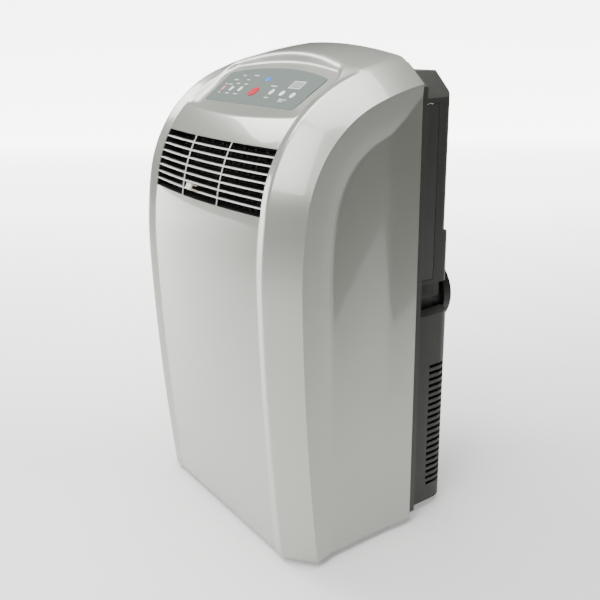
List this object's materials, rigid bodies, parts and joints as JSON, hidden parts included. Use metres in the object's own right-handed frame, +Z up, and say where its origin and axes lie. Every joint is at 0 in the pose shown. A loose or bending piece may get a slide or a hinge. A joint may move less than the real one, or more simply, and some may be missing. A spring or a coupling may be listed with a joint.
{
  "type": "portable air conditioner",
  "caption": "Tall portable air conditioner: crowned silver front shell, grilled air outlet with steerable vanes, sunken key panel, dark louvred rear and round exhaust collar, on casters.",
  "frame": {"origin": "on the floor, under the middle of the cabinet's box", "axes": "+Z up, the air outlet and the keys face -Y, +X towards the exhaust collar's side"},
  "size_m": [0.4672, 0.3942, 0.7952],
  "materials": {
    "shell_silver": "metallic silver gloss",
    "grille_silver": "silver satin",
    "overlay_grey": "satin membrane",
    "key_white": "satin",
    "key_pink": "satin",
    "key_red": "satin",
    "lens_blue": "gloss",
    "display_grey": "gloss",
    "housing_charcoal": "fine texture",
    "collar_black": "satin",
    "filter_grey": "fine texture",
    "vane_grey": "satin",
    "tab_cream": "satin",
    "duct_black": "matt",
    "tray_black": "matt",
    "caster_black": "satin",
    "caster_grey": "satin",
    "works_white": "matt",
    "board_green": "solder resist",
    "coil_aluminium": "mill",
    "compressor_black": "gloss enamel",
    "foot_rubber": "matt",
    "pipe_copper": "drawn",
    "motor_steel": "zinc plated",
    "screw_zinc": "zinc plated"
  },
  "bodies": {
    "cabinet": {"front_shell": "shell_silver", "outlet_grille": "grille_silver", "control_overlay": "overlay_grey", "receiver_lens": "lens_blue", "display_window": "display_grey", "control_board": "board_green", "outlet_duct": "duct_black", "rear_frame": "housing_charcoal", "rear_cover_upper": "housing_charcoal", "rear_cover_lower": "housing_charcoal", "exhaust_collar": "collar_black", "frame_screws": "screw_zinc", "base_tray": "tray_black", "cord_gland": "collar_black", "middle_deck": "works_white", "exhaust_blower_housing": "duct_black", "exhaust_blower_motor": "motor_steel", "room_blower_housing": "works_white", "room_blower_motor": "motor_steel", "evaporator_coil": "coil_aluminium", "condenser_coil": "coil_aluminium", "compressor": "compressor_black", "compressor_feet": "foot_rubber", "refrigerant_pipes": "pipe_copper", "electrical_box": "motor_steel"},
    "sleep_key": {"sleep_key": "key_pink"},
    "speed_key": {"speed_key": "key_white"},
    "mode_key": {"mode_key": "key_white"},
    "power_key": {"power_key": "key_red"},
    "timer_key": {"timer_key": "key_white"},
    "cooler_key": {"cooler_key": "key_white"},
    "warmer_key": {"warmer_key": "key_white"},
    "louvre_slider": {"louvre_tab": "tab_cream", "vane_link": "vane_grey"},
    "vane_1": {"vane_1": "vane_grey"},
    "vane_2": {"vane_2": "vane_grey"},
    "vane_3": {"vane_3": "vane_grey"},
    "vane_4": {"vane_4": "vane_grey"},
    "vane_5": {"vane_5": "vane_grey"},
    "vane_6": {"vane_6": "vane_grey"},
    "vane_7": {"vane_7": "vane_grey"},
    "vane_8": {"vane_8": "vane_grey"},
    "vane_9": {"vane_9": "vane_grey"},
    "exhaust_blower_wheel": {"exhaust_blower_wheel": "works_white"},
    "room_blower_wheel": {"room_blower_wheel": "duct_black"},
    "air_filter": {"air_filter": "filter_grey"},
    "drain_plug": {"drain_plug": "foot_rubber"},
    "caster_fork_front_left": {"caster_fork_front_left": "caster_grey"},
    "caster_wheel_front_left": {"caster_wheel_front_left": "caster_black"},
    "caster_fork_front_right": {"caster_fork_front_right": "caster_grey"},
    "caster_wheel_front_right": {"caster_wheel_front_right": "caster_black"},
    "caster_fork_rear_left": {"caster_fork_rear_left": "caster_grey"},
    "caster_wheel_rear_left": {"caster_wheel_rear_left": "caster_black"},
    "caster_fork_rear_right": {"caster_fork_rear_right": "caster_grey"},
    "caster_wheel_rear_right": {"caster_wheel_rear_right": "caster_black"}
  },
  "joints": [
    {"name": "sleep_press", "type": "slide", "parent": "cabinet", "child": "sleep_key", "axis": [0, 0.5534, -0.8329], "range_m": [0, 0.001], "stiffness_N_per_m": 800, "springref_m": -0.0006},
    {"name": "speed_press", "type": "slide", "parent": "cabinet", "child": "speed_key", "axis": [0, 0.5534, -0.8329], "range_m": [0, 0.001], "stiffness_N_per_m": 800, "springref_m": -0.0006},
    {"name": "mode_press", "type": "slide", "parent": "cabinet", "child": "mode_key", "axis": [0, 0.5534, -0.8329], "range_m": [0, 0.001], "stiffness_N_per_m": 800, "springref_m": -0.0006},
    {"name": "power_press", "type": "slide", "parent": "cabinet", "child": "power_key", "axis": [0, 0.5534, -0.8329], "range_m": [0, 0.001], "stiffness_N_per_m": 800, "springref_m": -0.0006},
    {"name": "timer_press", "type": "slide", "parent": "cabinet", "child": "timer_key", "axis": [0, 0.5534, -0.8329], "range_m": [0, 0.001], "stiffness_N_per_m": 800, "springref_m": -0.0006},
    {"name": "cooler_press", "type": "slide", "parent": "cabinet", "child": "cooler_key", "axis": [0, 0.5534, -0.8329], "range_m": [0, 0.001], "stiffness_N_per_m": 800, "springref_m": -0.0006},
    {"name": "warmer_press", "type": "slide", "parent": "cabinet", "child": "warmer_key", "axis": [0, 0.5534, -0.8329], "range_m": [0, 0.001], "stiffness_N_per_m": 800, "springref_m": -0.0006},
    {"name": "louvre_slide", "type": "slide", "parent": "cabinet", "child": "louvre_slider", "axis": [1, 0, 0], "range_m": [-0.008, 0.008]},
    {"name": "vane_1_turn", "type": "hinge", "parent": "cabinet", "child": "vane_1", "pos_m": [-0.132, -0.12922, 0.60953], "axis": [0, 0.3969, 0.9179], "range_deg": [-38.5, 38.5]},
    {"name": "vane_2_turn", "type": "hinge", "parent": "cabinet", "child": "vane_2", "pos_m": [-0.099, -0.12922, 0.60953], "axis": [0, 0.3969, 0.9179], "range_deg": [-38.5, 38.5]},
    {"name": "vane_3_turn", "type": "hinge", "parent": "cabinet", "child": "vane_3", "pos_m": [-0.066, -0.12922, 0.60953], "axis": [0, 0.3969, 0.9179], "range_deg": [-38.5, 38.5]},
    {"name": "vane_4_turn", "type": "hinge", "parent": "cabinet", "child": "vane_4", "pos_m": [-0.033, -0.12922, 0.60953], "axis": [0, 0.3969, 0.9179], "range_deg": [-38.5, 38.5]},
    {"name": "vane_5_turn", "type": "hinge", "parent": "cabinet", "child": "vane_5", "pos_m": [0, -0.12922, 0.60953], "axis": [0, 0.3969, 0.9179], "range_deg": [-38.5, 38.5]},
    {"name": "vane_6_turn", "type": "hinge", "parent": "cabinet", "child": "vane_6", "pos_m": [0.033, -0.12922, 0.60953], "axis": [0, 0.3969, 0.9179], "range_deg": [-38.5, 38.5]},
    {"name": "vane_7_turn", "type": "hinge", "parent": "cabinet", "child": "vane_7", "pos_m": [0.066, -0.12922, 0.60953], "axis": [0, 0.3969, 0.9179], "range_deg": [-38.5, 38.5]},
    {"name": "vane_8_turn", "type": "hinge", "parent": "cabinet", "child": "vane_8", "pos_m": [0.099, -0.12922, 0.60953], "axis": [0, 0.3969, 0.9179], "range_deg": [-38.5, 38.5]},
    {"name": "vane_9_turn", "type": "hinge", "parent": "cabinet", "child": "vane_9", "pos_m": [0.132, -0.12922, 0.60953], "axis": [0, 0.3969, 0.9179], "range_deg": [-38.5, 38.5]},
    {"name": "exhaust_blower_spin", "type": "hinge", "parent": "cabinet", "child": "exhaust_blower_wheel", "pos_m": [0.02, 0.1, 0.25], "axis": [0, 1, 0], "continuous": true},
    {"name": "room_blower_spin", "type": "hinge", "parent": "cabinet", "child": "room_blower_wheel", "pos_m": [0, -0.00203, 0.51313], "axis": [1, 0, 0], "continuous": true},
    {"name": "air_filter_pull", "type": "slide", "parent": "cabinet", "child": "air_filter", "axis": [1, 0, 0], "range_m": [0, 0.33]},
    {"name": "drain_plug_pull", "type": "slide", "parent": "cabinet", "child": "drain_plug", "axis": [0, 1, 0], "range_m": [0, 0.03]},
    {"name": "caster_front_left_swivel", "type": "hinge", "parent": "cabinet", "child": "caster_fork_front_left", "pos_m": [-0.176, -0.104, 0.06], "axis": [0, 0, 1], "continuous": true},
    {"name": "caster_front_left_roll", "type": "hinge", "parent": "caster_fork_front_left", "child": "caster_wheel_front_left", "pos_m": [-0.176, -0.091, 0.022], "axis": [1, 0, 0], "continuous": true},
    {"name": "caster_front_right_swivel", "type": "hinge", "parent": "cabinet", "child": "caster_fork_front_right", "pos_m": [0.176, -0.104, 0.06], "axis": [0, 0, 1], "continuous": true},
    {"name": "caster_front_right_roll", "type": "hinge", "parent": "caster_fork_front_right", "child": "caster_wheel_front_right", "pos_m": [0.176, -0.091, 0.022], "axis": [1, 0, 0], "continuous": true},
    {"name": "caster_rear_left_swivel", "type": "hinge", "parent": "cabinet", "child": "caster_fork_rear_left", "pos_m": [-0.138, 0.116, 0.06], "axis": [0, 0, 1], "continuous": true},
    {"name": "caster_rear_left_roll", "type": "hinge", "parent": "caster_fork_rear_left", "child": "caster_wheel_rear_left", "pos_m": [-0.138, 0.129, 0.022], "axis": [1, 0, 0], "continuous": true},
    {"name": "caster_rear_right_swivel", "type": "hinge", "parent": "cabinet", "child": "caster_fork_rear_right", "pos_m": [0.138, 0.116, 0.06], "axis": [0, 0, 1], "continuous": true},
    {"name": "caster_rear_right_roll", "type": "hinge", "parent": "caster_fork_rear_right", "child": "caster_wheel_rear_right", "pos_m": [0.138, 0.129, 0.022], "axis": [1, 0, 0], "continuous": true}
  ],
  "couplings": [
    {"joint": "vane_1_turn", "follows": "louvre_slide", "rad_per_m": 82.903},
    {"joint": "vane_2_turn", "follows": "louvre_slide", "rad_per_m": 82.903},
    {"joint": "vane_3_turn", "follows": "louvre_slide", "rad_per_m": 82.903},
    {"joint": "vane_4_turn", "follows": "louvre_slide", "rad_per_m": 82.903},
    {"joint": "vane_5_turn", "follows": "louvre_slide", "rad_per_m": 82.903},
    {"joint": "vane_6_turn", "follows": "louvre_slide", "rad_per_m": 82.903},
    {"joint": "vane_7_turn", "follows": "louvre_slide", "rad_per_m": 82.903},
    {"joint": "vane_8_turn", "follows": "louvre_slide", "rad_per_m": 82.903},
    {"joint": "vane_9_turn", "follows": "louvre_slide", "rad_per_m": 82.903}
  ]
}
